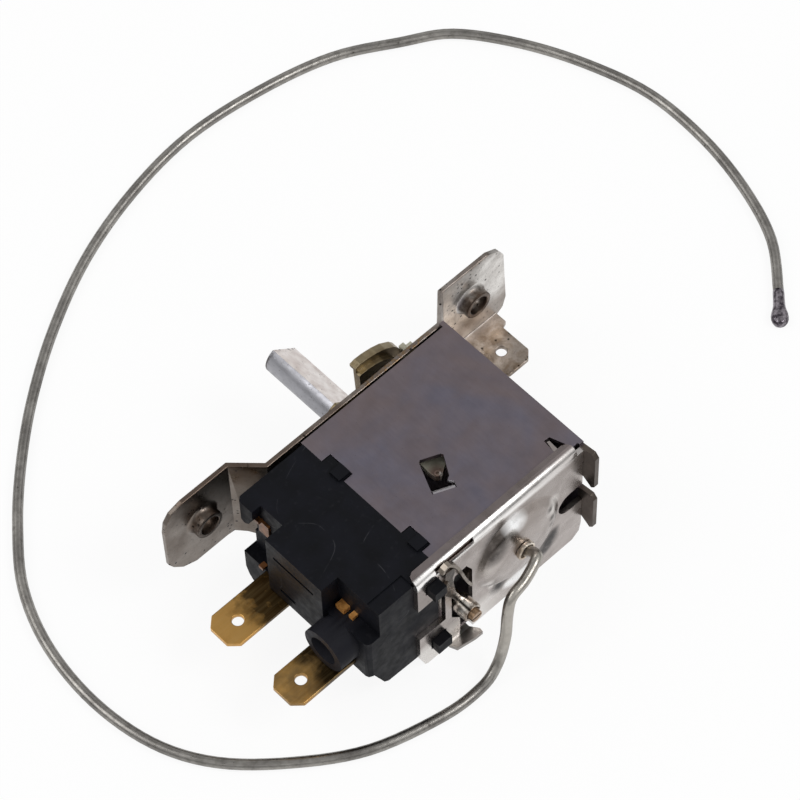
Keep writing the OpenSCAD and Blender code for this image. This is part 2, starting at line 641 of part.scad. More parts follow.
module fixed_contact() {
  color(silver) bar_x(contact_y, boss_z, contact_r, fixed_x, fixed_x + fixed_thick - fit_gap);
}
module contact_blade() {
  color(copper) union() {
    slab_x(blade_x, blade_x + spring_thick) polygon([
      [8.9, boss_z - 1.7], [8.9, boss_z + 1.7], [22.4, boss_z + 1.7], [23.4, boss_z + 2.1],
      [29.6, boss_z + 2.1], [29.6, boss_z - 2.1], [23.4, boss_z - 2.1], [22.4, boss_z - 1.7]]);
    bar_z(blade_x, bend_y, spring_thick, boss_z - 2.1, boss_z + 2.1);
  }
}
module moving_contact() {
  color(silver) bar_x(contact_y, boss_z, contact_r, blade_x + spring_thick + fit_gap, fixed_x - contact_gap);
}
module push_pin() {
  color("#c9b9a0") {
    bar_x(pin_y, boss_z, pin_tip_r, arm_face + pad_gap, blade_x - pad_gap);
    bar_x(pin_y, boss_z, pin_r, 9.6, 13.6);
  }
}

// Spindle group
bush_r = 4.4;
module flat_side(off, y0, y1) {
  rotate([0, -flat_angle, 0]) box(off, off + 4, y0, y1, -5, 5);
}
module spindle() {
  color(plain_steel) difference() {
    bar_y(0, 0, spindle_r, spindle_tip, 8.0);
    flat_side(flat_off, spindle_tip - 1, cam_y + cam_depth);
    difference() {
      bar_y(0, 0, spindle_r + 1, 6.6, 7.3);
      bar_y(0, 0, spindle_r - 0.5, 6, 8);
    }
  }
}
module spindle_bush() {
  color(brass) difference() {
    union() {
      bar_y(0, 0, bush_r, 3.4, 6.4);
      bar_y(0, 0, bush_r + 1.3, plate_back + fit_gap, 6.4);
    }
    bar_y(0, 0, spindle_r + run_gap, 2, 8);
  }
}
module spindle_clip() {
  color(plain_steel) difference() {
    bar_y(0, 0, spindle_r + 1.5, 6.63, 7.27);
    bar_y(0, 0, spindle_r - 0.5 + fit_gap, 6, 8);
    box(-1.6, 1.6, 6, 8, -6, 0);
  }
}
// Cam outline: each radius just clears the follower nose at that turn of the spindle
function follower_at(turn) = follower_turn * turn / spindle_turn;
function nose_x(turn) = follower_x + (nose_in - follower_x) * cos(follower_at(turn))
  - (nose_y - follower_y) * sin(follower_at(turn));
function cam_r(turn) = sqrt(pow(nose_x(turn), 2) + pow(nose_low, 2)) - cam_gap;
function cam_a(turn) = atan2(nose_low, nose_x(turn)) + turn;
function polar(r, a) = [r * cos(a), r * sin(a)];
function cam_outline(cut, open) = concat(
  [polar(0.5, cam_lobe[0][1] - open)],
  [polar(spindle_r + 0.3, cam_heel - open)],
  [polar(cam_lobe[0][0] - cut - 0.01, cam_lobe[0][1] - open)],
  [for (p = cam_lobe) polar(p[0] - cut, p[1])],
  [for (t = [-cam_lead : cam_step : spindle_turn + 4]) polar(cam_r(t) - cut, cam_a(t))],
  [polar(cam_r(spindle_turn) - cut, cam_a(spindle_turn + 4) + open)],
  [polar(0.5, cam_a(spindle_turn + 4) + open)]);
module cam() {
  cam_back = cam_y + cam_depth;
  color(zinc_yellow) difference() {
    union() {
      difference() {
        slab_y(cam_y, cam_back) polygon(cam_outline(0, 0.2));
        slab_y(cam_y - 1, cam_back - 1.3) polygon(cam_outline(cam_wall, 8));
        slab_y(cam_back - 0.7, cam_back + 1) difference() {
          square(40, center = true);
          polygon(cam_outline(cam_shoulder, 12));
        }
      }
      difference() {
        bar_y(0, 0, spindle_r + 0.9, cam_back - 1.3, cam_back);
        flat_side(flat_off + 0.6, cam_y, cam_back + 1);
      }
    }
    difference() {
      bar_y(0, 0, spindle_r + fit_gap, -2, 6);
      flat_side(flat_off + fit_gap, -3, 7);
    }
  }
}

// Follower
module follower_pin() {
  color(plain_steel) union() {
    bar_z(follower_x, follower_y, pivot_r + 1.0, bottom_in, follower_z - run_gap);
    bar_z(follower_x, follower_y, pivot_r, follower_z - 1, follower_z + 1.9);
    bar_z(follower_x, follower_y, pivot_r + 0.8, follower_z + 1.1 + run_gap, follower_z + 1.9);
  }
}
module follower_lever() {
  top = follower_z + 1.1;
  fx = follower_x;
  fy = follower_y;
  color(zinc_yellow) difference() {
    union() {
      slab_z(follower_z, top) polygon([
        [nose_out, nose_rear - 0.8], [nose_in, nose_rear - 0.8],
        [-8.1, spring_y - 1.6], [-8.1, spring_y + 1.4],
        [fx + 2.8, fy - 5.6], [fx + 7.5, fy - 2.8], [fx + 7.7, fy - 0.4], [fx + 7.55, fy + 0.8],
        [fx + 6.8, fy + 1.3], [fx + 6.0, fy + 0.8], [fx + 5.0, fy + 0.2], [fx + 3.4, fy + 0.8],
        [fx + 1.8, fy + 2.8], [fx - 0.4, fy + 3.2], [fx - 2.9, fy + 1.4], [-11.3, 12.2],
        [nose_out, 5.0]]);
      box(nose_out, nose_in, nose_rear - 0.8, nose_rear, nose_low, top);
      box(nose_out, nose_in, nose_front, nose_rear, nose_low, nose_top);
      box(-8.9, -8.1, spring_y - 1.2, spring_y + 1.2, 0.9, top);
      bar_z(follower_x + 7, follower_y + 0.65, 0.5, top - 0.2, top + 0.35);
    }
    bar_z(follower_x, follower_y, pivot_r + run_gap, follower_z - 1, top + 1);
    bar_z(follower_x + 7, follower_y + 0.65, 0.25, top - 0.1, top + 1);
  }
}
module range_spring() {
  steps = spring_turns * 12;
  coil = [for (i = [0 : steps]) [
    spring_coil[0] + (spring_coil[1] - spring_coil[0]) * i / steps,
    spring_y + spring_r * cos(30 * i), spring_z + spring_r * sin(30 * i)]];
  path = concat(
    [[spring_hooks[0], spring_y, spring_z], [-6.7, spring_y + 0.3, spring_z],
      [-5.9, spring_y + 1.1, spring_z - 0.5]],
    coil,
    [[5.4, spring_y + 1.2, spring_z + 0.6], [6.3, spring_y + 0.4, spring_z + 0.3],
      [spring_hooks[1], spring_y, spring_z]]);
  color(plain_steel) tube(path, spring_wire, spring_sides, [1, 0, 0]);
}

// Main lever
module lever_pin() {
  color(plain_steel) union() {
    bar_z(lever_x, lever_y, pivot_r, bottom_in, top_in);
    bar_z(lever_x, lever_y, pivot_r + 1.0, bottom_in, lever_z - run_gap);
  }
}
module main_lever() {
  top = lever_z + lever_thick;
  color(nickel) difference() {
    union() {
      slab_z(lever_z, top) polygon([
        [reach_end, reach_front - 0.6], [4.6, reach_front - 2.6], [6.1, lever_y - 3.2], [6.1, 9.6],
        [arm_face, 9.6], [arm_face, lever_y - 2.2], [lever_x + 2.1, lever_y - 1.6],
        [lever_x + 2.1, lever_y + 1.5], [lever_x + 1.3, lever_y + 2.2], [lever_x - 2, reach_rear],
        [reach_end, reach_rear]]);
      box(reach_end, 5.4, reach_front, reach_rear, lever_z, reach_top);
      box(arm_back, arm_face, 9.6, 24.5, lever_z, 0.6);
      box(arm_back, arm_face, 9.6, 12.4, lever_z, 3.6);
      bar_z(lever_x, lever_y, pivot_r + 1.0, lever_z, 1.6);
    }
    bar_z(lever_x, lever_y, pivot_r + run_gap, lever_z - 1, 3);
  }
}

mounting_bracket();
cover_shell();
rear_plate();
diaphragm_ring();
diaphragm();
thrust_pad();
capillary_ferrule();
capillary_tube();
capillary_tip();
adjuster_clamp();
adjuster_hood();
range_screw();
switch_block();
switch_lid();
terminal_front();
terminal_rear();
contact_springs();
fixed_contact();
contact_blade();
moving_contact();
push_pin();
differential_screw();
spindle();
spindle_bush();
spindle_clip();
cam();
follower_pin();
follower_lever();
range_spring();
lever_pin();
main_lever();
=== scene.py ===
import math

import bpy
from mathutils import Matrix, Vector


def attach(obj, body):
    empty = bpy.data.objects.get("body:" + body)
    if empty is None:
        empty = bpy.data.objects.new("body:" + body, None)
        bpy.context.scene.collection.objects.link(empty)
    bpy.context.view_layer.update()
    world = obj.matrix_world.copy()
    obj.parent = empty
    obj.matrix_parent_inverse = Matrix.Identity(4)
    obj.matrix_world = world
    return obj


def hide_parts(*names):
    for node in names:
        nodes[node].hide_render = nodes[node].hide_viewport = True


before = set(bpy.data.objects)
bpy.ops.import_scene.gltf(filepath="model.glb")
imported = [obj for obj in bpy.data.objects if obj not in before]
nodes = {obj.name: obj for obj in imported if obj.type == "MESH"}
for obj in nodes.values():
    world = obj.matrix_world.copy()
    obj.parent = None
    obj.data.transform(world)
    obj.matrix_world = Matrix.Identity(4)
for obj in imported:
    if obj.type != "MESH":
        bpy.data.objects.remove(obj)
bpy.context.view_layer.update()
MM = 0.001

# Places of the thermostat's features in its own frame, in mm. The floor is a hair below it.
FLOOR_Z = -15.35
# Ears and front plate of the bracket: the hole of each ear, its collar, where the earth blade's
# ear begins and its blade bends back, the rust at the spindle, and the plate's front and upper edge
EAR_X = 26.8
COLLAR_R = 2.5
EARTH_EAR_X = -20
EARTH_BEND_Y = 1.0
RUST_X = -8
BRACKET_Y = 4.0
BRACKET_TOP = 7.6
# Face of the cover and the small lip bent down beside its window
COVER_TOP = 8.6
WINDOW_LIP_X, WINDOW_LIP_Y = 2.25, 25.45
# Rear plate: its front face, the slot in its fold, the low bent flag and the pressed cup
REAR_Y = 33.5
SLOT_START, SLOT_END, SLOT_LOW = 4.9, 12.5, 7.9
FLAG_Z = -13.2
CUP_X, CUP_Z, CUP_R = -3.3, -1.9, 8.4
# Boss of the switch block
BOSS_Y, BOSS_Z, BOSS_R = 28.0, -1.5, 3.7
# Where the brass blades leave the block and the middle between the front and the rear one
BLADE_ROOT_X = 27.5
BLADES_MIDDLE_Y = 21.5
# Worn place of the follower lever under the window
BUTTON_X, BUTTON_Y = 0.0, 21.6
# Axis of the range screw and the end of its split sleeve
RANGE_X, RANGE_Z = 7.9, -5.3
SLEEVE_END = 36.6
# Height at which the tube has left the surface on its way to the cup
TUBE_LIFT_Z = -13.8
# End of the spindle and the direction in which its flat faces
SPINDLE_TIP = -11.7
FLAT_NORMAL = (-0.686, 0, 0.728)


# Camera at the photograph's angle

CAMERA_RIGHT = (-0.7293, 0.6831, -0.0369)
CAMERA_BACK = (0.3368, 0.4055, 0.8498)
CAMERA_DISTANCE = 533.35
CAMERA_AIM = (0, 0, -2.1)
CAMERA_LENS, CAMERA_SENSOR = 164.2, 36
CAMERA_SHIFT_X, CAMERA_SHIFT_Y = 0.0808, 0.01305


def set_camera():
    """Long lens, turned so that the rear plate and the cover's face both show."""
    right = Vector(CAMERA_RIGHT).normalized()
    back = Vector(CAMERA_BACK).normalized()
    up = back.cross(right).normalized()
    right = up.cross(back)
    data = bpy.data.cameras.new("camera")
    data.lens = CAMERA_LENS
    data.sensor_width = CAMERA_SENSOR
    data.shift_x = CAMERA_SHIFT_X
    data.shift_y = CAMERA_SHIFT_Y
    data.clip_start = 0.01
    data.clip_end = 20
    data.dof.use_dof = False
    cam = bpy.data.objects.new("camera", data)
    bpy.context.scene.collection.objects.link(cam)
    place = (back * CAMERA_DISTANCE + Vector(CAMERA_AIM)) * MM
    cam.matrix_world = Matrix((
        (right.x, up.x, back.x, place.x),
        (right.y, up.y, back.y, place.y),
        (right.z, up.z, back.z, place.z),
        (0, 0, 0, 1)))
    bpy.context.scene.camera = cam


set_camera()


# Capillary tube, the one free cord, along the CAD's points

TUBE = [
    (-3.3, 34.3, -1.9), (-3.3, 36.3, -1.85), (-3.2, 37.9, -0.3), (-2.4, 39.2, 0.6),
    (0.9, 40.3, 0.0), (4.0, 40.7, -0.8), (5.3, 41.2, -3.9), (6.3, 41.8, -8.3),
    (8.6, 42.5, -12.4), (12.2, 42.9, -14.2), (19.2, 42.3, -14.4), (30.3, 38.9, -14.4),
    (39.5, 32.8, -14.4), (47.3, 25.2, -14.4), (51.8, 16.6, -14.4), (53.5, 5.8, -14.4),
    (52.4, -5.5, -14.4), (48.7, -15.5, -14.4), (42.6, -23.9, -14.4), (35.4, -31.6, -14.4),
    (26.6, -39.3, -14.4), (15.9, -46.7, -14.4), (3.6, -53.1, -14.4), (-9.6, -57.3, -14.4),
    (-23.1, -59.2, -14.4), (-37.2, -57.9, -14.4), (-49.8, -54.7, -14.4), (-59.6, -49.2, -14.4),
    (-66.9, -44.4, -14.4), (-73.1, -35.5, -14.4), (-77.7, -25.2, -14.4), (-80.6, -13.9, -14.4),
    (-80.3, -1.9, -14.4), (-77.9, 9.1, -14.4), (-73.9, 18.6, -14.4), (-67.8, 25.8, -14.4)]
TUBE_R = 0.85 * MM
TUBE_STEPS = 6
TIP_START = Vector(TUBE[-1]) * MM
TIP_END = Vector((-64.3, 29.4, -14.4)) * MM
# Solder drop: place along the tube's end and radius there, in mm
DROP_PROFILE = [
    (0.0, 0.86), (0.5, 0.9), (1.6, 0.9), (2.8, 0.95), (3.5, 1.08), (4.1, 1.28),
    (4.7, 1.37), (5.3, 1.34), (5.8, 1.18), (6.15, 0.9), (6.4, 0.5), (6.5, 0.02)]
DROP_HALF_HEIGHT = 0.86
DROP_SIDES = 24


def smooth_line(points, steps):
    """Catmull-Rom points through the given ones, steps to each stretch."""
    p = [Vector(q) * MM for q in points]
    line = []
    for i in range(len(p) - 1):
        a, b, c, d = p[max(i - 1, 0)], p[i], p[i + 1], p[min(i + 2, len(p) - 1)]
        for k in range(steps):
            t = k / steps
            line.append(0.5 * (2 * b + (c - a) * t + (2 * a - 5 * b + 4 * c - d) * t * t
                               + (3 * b - a - 3 * c + d) * t ** 3))
    line.append(p[-1])
    return line


def make_tube():
    """Round tube along the route.

    Its radius is carried by the points, with a bevel of 1, because a point's own
    radius counts in the bounding box of a curve.
    """
    line = smooth_line(TUBE, TUBE_STEPS)
    curve = bpy.data.curves.new("capillary", "CURVE")
    curve.dimensions = "3D"
    curve.bevel_depth = 1.0
    curve.bevel_resolution = 4
    curve.use_fill_caps = True
    spline = curve.splines.new("POLY")
    spline.points.add(len(line) - 1)
    for point, at in zip(spline.points, line):
        point.co = (at.x, at.y, at.z, 1)
        point.radius = TUBE_R
    spline.use_smooth = True
    tube = bpy.data.objects.new("capillary", curve)
    bpy.context.scene.collection.objects.link(tube)
    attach(tube, "housing")
    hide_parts("capillary_tube")
    return tube, line


capillary, tube_line = make_tube()


def make_tip():
    """Solder drop on the tube's end, flattened where it lies on the surface."""
    along = (TIP_END - TIP_START).normalized()
    across = Vector((0, 0, 1)).cross(along)
    verts = []
    for place, radius in DROP_PROFILE:
        for k in range(DROP_SIDES):
            turn = 2 * math.pi * k / DROP_SIDES
            up = min(radius, DROP_HALF_HEIGHT)
            at = TIP_START + along * place * MM + across * math.cos(turn) * radius * MM
            verts.append(at + Vector((0, 0, math.sin(turn) * up * MM)))
    last_ring = len(verts) - DROP_SIDES
    faces = [tuple(range(DROP_SIDES))[::-1], tuple(last_ring + k for k in range(DROP_SIDES))]
    for i in range(len(DROP_PROFILE) - 1):
        for k in range(DROP_SIDES):
            a, b = i * DROP_SIDES + k, i * DROP_SIDES + (k + 1) % DROP_SIDES
            faces.append((a, b, b + DROP_SIDES, a + DROP_SIDES))
    mesh = bpy.data.meshes.new("solder_drop")
    mesh.from_pydata(verts, [], faces)
    mesh.polygons.foreach_set("use_smooth", [True] * len(faces))
    drop = bpy.data.objects.new("solder_drop", mesh)
    bpy.context.scene.collection.objects.link(drop)
    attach(drop, "housing")
    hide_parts("capillary_tip")
    return drop


solder_drop = make_tip()


# Materials

def srgb(code):
    """A hex colour as the linear colour that Blender works in."""
    parts = [int(code[i:i + 2], 16) / 255 for i in (1, 3, 5)]
    return tuple(c / 12.92 if c <= 0.04045 else ((c + 0.055) / 1.055) ** 2.4 for c in parts) + (1,)


def add(tree, kind, values=None, **settings):
    """One shader node with its settings and its inputs, each a value or a socket to link."""
    node = tree.nodes.new(kind)
    for key, value in settings.items():
        setattr(node, key, value)
    for key, value in (values or {}).items():
        socket = node.inputs[key]
        if isinstance(value, bpy.types.NodeSocket):
            tree.links.new(value, socket)
        else:
            socket.default_value = value
    return node


class Look:
    """A material under construction, with positions in millimetres."""

    def __init__(self, name):
        self.material = bpy.data.materials.new(name)
        self.material.use_nodes = True
        self.tree = self.material.node_tree
        self.tree.nodes.clear()
        coords = add(self.tree, "ShaderNodeTexCoord").outputs["Object"]
        self.mm = self.scaled(coords, (1000, 1000, 1000))

    def scaled(self, vector, scale):
        """The vector, each part of it scaled by its own number."""
        return add(self.tree, "ShaderNodeVectorMath", {0: vector, 1: scale},
                   operation="MULTIPLY").outputs[0]

    def noise(self, size_mm, detail=4, stretch=(1, 1, 1), rough=0.55, distortion=0.0):
        """Noise whose blotches are about size_mm across, drawn out where stretch is small."""
        where = self.scaled(self.mm, tuple(s / size_mm for s in stretch))
        return add(self.tree, "ShaderNodeTexNoise", {
            "Vector": where, "Scale": 1.0, "Detail": detail, "Roughness": rough,
            "Distortion": distortion}).outputs["Fac"]

    def cells(self, size_mm):
        """Distance from the nearest of scattered points, about size_mm apart."""
        where = self.scaled(self.mm, (1 / size_mm,) * 3)
        return add(self.tree, "ShaderNodeTexVoronoi", {"Vector": where, "Scale": 1.0}).outputs["Distance"]

    def spread(self, value, low, high, to_low=0.0, to_high=1.0):
        """The value's stretch from low to high, laid out from to_low to to_high and held beyond it."""
        return add(self.tree, "ShaderNodeMapRange", {
            "Value": value, "From Min": low, "From Max": high, "To Min": to_low,
            "To Max": to_high}).outputs["Result"]

    def contour(self, value, width):
        """Thin lines where the value crosses its middle."""
        off = add(self.tree, "ShaderNodeMath", {0: value, 1: 0.5}, operation="SUBTRACT").outputs[0]
        far = add(self.tree, "ShaderNodeMath", {0: off}, operation="ABSOLUTE").outputs[0]
        return self.spread(far, width, width * 0.4)

    def times(self, a, b):
        return add(self.tree, "ShaderNodeMath", {0: a, 1: b}, operation="MULTIPLY").outputs[0]

    def axis(self, name):
        """The place in mm along one axis."""
        split = add(self.tree, "ShaderNodeSeparateXYZ", {"Vector": self.mm})
        return split.outputs[name]

    def within(self, name, low, high):
        """1 between two places along an axis, else 0."""
        at = self.axis(name)
        return self.times(self.spread(at, low, low + 0.05), self.spread(at, high, high - 0.05))

    def facing(self, direction):
        """Cosine between the surface's own normal and a direction."""
        normal = add(self.tree, "ShaderNodeTexCoord").outputs["Normal"]
        return add(self.tree, "ShaderNodeVectorMath", {0: normal, 1: direction},
                   operation="DOT_PRODUCT").outputs["Value"]

    def from_line(self, point, mirror=False):
        """Distance in mm from a line along the axis whose place in point is None."""
        at = self.mm
        if mirror:
            at = add(self.tree, "ShaderNodeVectorMath", {0: at}, operation="ABSOLUTE").outputs[0]
        flat = self.scaled(at, tuple(0 if p is None else 1 for p in point))
        return add(self.tree, "ShaderNodeVectorMath", {0: flat, 1: tuple(p or 0 for p in point)},
                   operation="DISTANCE").outputs["Value"]

    def uneven(self, size_mm, low, high, detail=4):
        """Roughness that wanders between two values over about size_mm."""
        return self.spread(self.noise(size_mm, detail), 0.3, 0.7, low, high)

    def mix(self, share, a, b):
        """From a to b by the share, each a hex colour or a socket."""
        a = srgb(a) if isinstance(a, str) else a
        b = srgb(b) if isinstance(b, str) else b
        return add(self.tree, "ShaderNodeMix", {"Factor": share, 6: a, 7: b},
                   data_type="RGBA").outputs[2]

    def bump(self, height, depth_mm, normal=None):
        """The surface's normal, raised by the height, on top of another normal if given."""
        values = {"Height": height, "Distance": depth_mm * MM, "Strength": 1.0}
        if normal is not None:
            values["Normal"] = normal
        return add(self.tree, "ShaderNodeBump", values).outputs["Normal"]

    def done(self, colour, metallic, roughness, normal=None, **more):
        """The material with its shader. More of the shader's sockets go by name, with _ for a space."""
        values = {"Base Color": srgb(colour) if isinstance(colour, str) else colour,
                  "Metallic": metallic, "Roughness": roughness}
        if normal is not None:
            values["Normal"] = normal
        values.update({key.replace("_", " "): value for key, value in more.items()})
        shader = add(self.tree, "ShaderNodeBsdfPrincipled", values)
        add(self.tree, "ShaderNodeOutputMaterial", {"Surface": shader.outputs["BSDF"]})
        return self.material


def worn_metal(name, colour, stain, dark, stain_mm, rough=(0.24, 0.42), pits=0.35):
    """Metal with soft discoloured patches, a faint grain and small dark pits."""
    look = Look(name)
    patches = look.spread(look.noise(stain_mm, 5, distortion=0.6), 0.42, 0.72)
    small = look.spread(look.noise(stain_mm / 6, 3), 0.5, 0.8)
    base = look.mix(look.times(patches, 0.8), colour, stain)
    base = look.mix(look.times(small, 0.25), base, stain)
    specks = look.spread(look.cells(1.4), 0.10, 0.04)
    seldom = look.spread(look.noise(3.5, 2), 0.56, 0.62)
    base = look.mix(look.times(look.times(specks, seldom), pits), base, dark)
    roughness = look.uneven(2.2, *rough)
    return look.done(base, 1.0, roughness, look.bump(look.noise(0.25, 3), 0.006))


def bracket_nickel():
    """Nickel-plated steel of the bracket: brighter at the earth blade, brown and pitted at the other ear."""
    look = Look("nickel_plate_bracket")
    side = look.spread(look.axis("X"), EARTH_EAR_X, 12)
    base = look.mix(side, "#f4f1ed", "#938b84")
    ear = look.spread(look.axis("X"), EARTH_EAR_X, EARTH_EAR_X - 2)
    ear_low = look.times(ear, look.spread(look.axis("Z"), -3.2, -6.0, 0.0, 0.85))
    base = look.mix(ear_low, base, "#a0968e")
    blade = look.times(ear, look.spread(look.axis("Y"), EARTH_BEND_Y, EARTH_BEND_Y + 1.5))
    stain = look.spread(look.noise(3.0, 4, distortion=0.5), 0.42, 0.62)
    base = look.mix(blade, base, look.mix(stain, "#b9aea4", "#8b7a69"))
    patches = look.spread(look.noise(6, 5, distortion=0.6), 0.42, 0.72)
    base = look.mix(look.times(patches, 0.7), base, "#6b5f55")
    top = look.times(look.spread(look.axis("Z"), 1.0, 7.0), look.spread(look.noise(5, 3), 0.3, 0.55))
    base = look.mix(look.times(top, 0.55), base, "#54493f")
    rim = look.spread(look.axis("Z"), BRACKET_TOP - 0.4, BRACKET_TOP - 0.15)
    base = look.mix(look.times(rim, 0.5), base, "#6a574b")
    rust = look.times(look.spread(look.from_line((RUST_X, BRACKET_Y, BRACKET_TOP)), 9.0, 5.0),
                      look.spread(look.noise(0.5, 3), 0.45, 0.6))
    base = look.mix(look.times(rust, 0.8), base, "#8a6f4f")
    # Painted shade: a dark brown halo round the foot of each ear's collar, broken by noise
    collar = look.spread(look.from_line((EAR_X, None, 0), mirror=True), COLLAR_R + 0.4, COLLAR_R)
    collar_shade_breakup = look.spread(look.noise(1.6, 4), 0.3, 0.55, 0.35, 0.9)
    base = look.mix(look.times(collar, collar_shade_breakup), base, "#4b3d33")
    grit = look.spread(look.noise(0.35, 4), 0.5, 0.75)
    base = look.mix(look.times(grit, 0.3), base, "#58504a")
    pits = look.times(look.spread(look.cells(0.95), 0.26, 0.14), look.spread(look.noise(3.2, 3), 0.47, 0.55))
    base = look.mix(look.times(pits, 0.92), base, "#1c1815")
    roughness = look.uneven(2.2, 0.26, 0.46)
    hollows = look.times(pits, -1.0)
    grain = look.bump(look.noise(0.25, 3), 0.006)
    return look.done(base, 1.0, roughness, look.bump(hollows, 0.03, grain))


NICKEL = bracket_nickel()


# Painted highlights, reflections and shade on the cup and the plate round it, laid on in this order
# to bring out the pressed form: place in x and z, radius in mm, share, colour
CUP_PAINTED_LIGHT = [
    # Painted shade and a painted highlight on the shoulder of the dome toward +X
    (4.3, 0.5, 3.0, 0.3, "#8e8782"), (2.5, -1.3, 2.2, 0.5, "#cfc8c2"),
    (0.6, 4.1, 3.6, 0.9, "#3f3a36"), (1.9, 1.4, 2.8, 0.9, "#3d3733"),
    # Painted highlight on the rim toward -X, a painted dark crescent outside it and painted shade in the
    # crease inside it
    (-10.1, 0.9, 2.0, 0.8, "#f6f2ee"), (-10.9, -8.0, 1.4, 0.95, "#3c3433"),
    (-10.2, -9.0, 2.1, 1.0, "#1f1918"), (-9.6, -10.1, 2.5, 1.0, "#120e0d"),
    (-8.8, -11.3, 2.0, 1.0, "#1f1918"), (-9.2, 1.2, 0.9, 0.95, "#3f3833"),
    (-9.6, -1.3, 0.9, 0.95, "#3f3833"), (-9.5, -3.0, 0.8, 0.8, "#5a514b"),
    # Painted shade and painted highlights at the foot of the cup toward +X
    (2.0, -6.4, 1.7, 0.5, "#5a514b"), (1.5, -8.3, 1.1, 0.8, "#efebe7"),
    (2.9, -5.6, 1.1, 0.7, "#efebe7"), (0.2, -10.1, 2.2, 1.0, "#191311"),
    # Painted highlight near the top of the dome
    (-2.4, 5.2, 2.6, 0.95, "#ffffff"),
    # Painted highlight in a bright strip under the cup
    (-1.5, -11.9, 1.2, 1.0, "#ffffff"), (-2.4, -12.2, 1.6, 1.0, "#ffffff"),
    (-3.4, -12.3, 1.8, 1.0, "#ffffff"), (-4.4, -12.3, 1.8, 1.0, "#ffffff"),
    (-5.6, -12.1, 1.7, 1.0, "#ffffff"), (-6.8, -11.8, 1.4, 1.0, "#ffffff")]


def rear_nickel():
    """Nickel plate of the rear plate and cup: bright, greyer on the lip, dark on the low flag, with painted
    light and shade.
    """
    look = Look("nickel_plate_rear")
    patches = look.spread(look.noise(5, 5, distortion=0.6), 0.42, 0.72)
    base = look.mix(look.times(patches, 0.7), "#bab2ae", "#8f8580")
    small = look.spread(look.noise(0.9, 3), 0.5, 0.8)
    base = look.mix(look.times(small, 0.25), base, "#857b75")
    low = look.times(look.spread(look.axis("X"), -2, 4), look.spread(look.axis("Z"), -9, -11.5))
    base = look.mix(low, base, "#e6e2de")
    lip = look.times(look.spread(look.axis("Z"), COVER_TOP - 0.2, COVER_TOP + 0.3),
                     look.spread(look.axis("Y"), REAR_Y + 0.1, REAR_Y - 0.2))
    base = look.mix(look.times(lip, 0.9), base, "#8b8180")
    flag = look.times(look.spread(look.axis("Z"), FLAG_Z, FLAG_Z - 0.4),
                      look.spread(look.axis("Y"), REAR_Y + 0.9, REAR_Y + 1.1))
    base = look.mix(flag, base, look.mix(look.noise(1.6, 4), "#b3aeaa", "#7b7672"))
    upper = look.times(look.spread(look.axis("Z"), -2.0, 6.5),
                       look.spread(look.axis("X"), 2, -8, 0.45, 1.0))
    upper = look.times(upper, look.spread(look.axis("Z"), 7.7, 7.1))
    base = look.mix(look.times(upper, 0.7), base, "#968d88")
    # Painted highlight along the fold under the lip, fainter toward -X
    fold = look.times(look.spread(look.axis("Z"), 7.3, 8.0),
                      look.spread(look.axis("Y"), REAR_Y - 0.3, REAR_Y))
    base = look.mix(look.times(fold, look.spread(look.axis("X"), -13, -2, 0.35, 1.0)), base, "#fffdfb")
    # Painted shade on the cup's sloped wall, where the surface turns away from +Y, broken by noise
    lean = look.facing((0, 1, 0))
    cup = look.spread(look.from_line((CUP_X, None, CUP_Z)), CUP_R + 0.6, CUP_R - 0.1)
    base = look.mix(look.times(cup, 0.2), base, "#978e87")
    around = look.spread(look.from_line((CUP_X, None, CUP_Z)), CUP_R + 4.6, CUP_R + 3.6)
    wall_shade = look.times(look.spread(lean, 0.9965, 0.9), around)
    wall_shade_breakup = look.spread(look.noise(2.4, 4, distortion=0.7), 0.36, 0.56, 0.35, 1.0)
    base = look.mix(look.times(look.times(wall_shade, 0.35), wall_shade_breakup), base, "#6b625b")
    # The cup's painted highlights, reflections and shade from the table above, broken by noise
    for x, z, size, share, tone in CUP_PAINTED_LIGHT:
        painted_spot = look.spread(look.from_line((x, None, z)), size, size * 0.25)
        painted_spot = look.times(painted_spot, look.spread(look.noise(1.2, 4), 0.3, 0.55, 0.7, 1.0))
        base = look.mix(look.times(look.times(painted_spot, share), around), base, tone)
    # Painted shade in the slot cut in the fold
    slot_shade = look.times(look.within("X", SLOT_START, SLOT_END),
                        look.within("Z", SLOT_LOW, SLOT_LOW + 1.2))
    slot_shade = look.times(slot_shade, look.spread(look.axis("Y"), REAR_Y + 0.45, REAR_Y + 0.35))
    base = look.mix(slot_shade, base, "#3b2e27")
    specks = look.times(look.spread(look.cells(1.4), 0.10, 0.04), look.spread(look.noise(3.5, 2), 0.5, 0.56))
    base = look.mix(look.times(specks, 0.6), base, "#39312c")
    roughness = look.uneven(2.2, 0.2, 0.38)
    return look.done(base, 1.0, roughness, look.bump(look.noise(0.25, 3), 0.006))


NICKEL_REAR = rear_nickel()


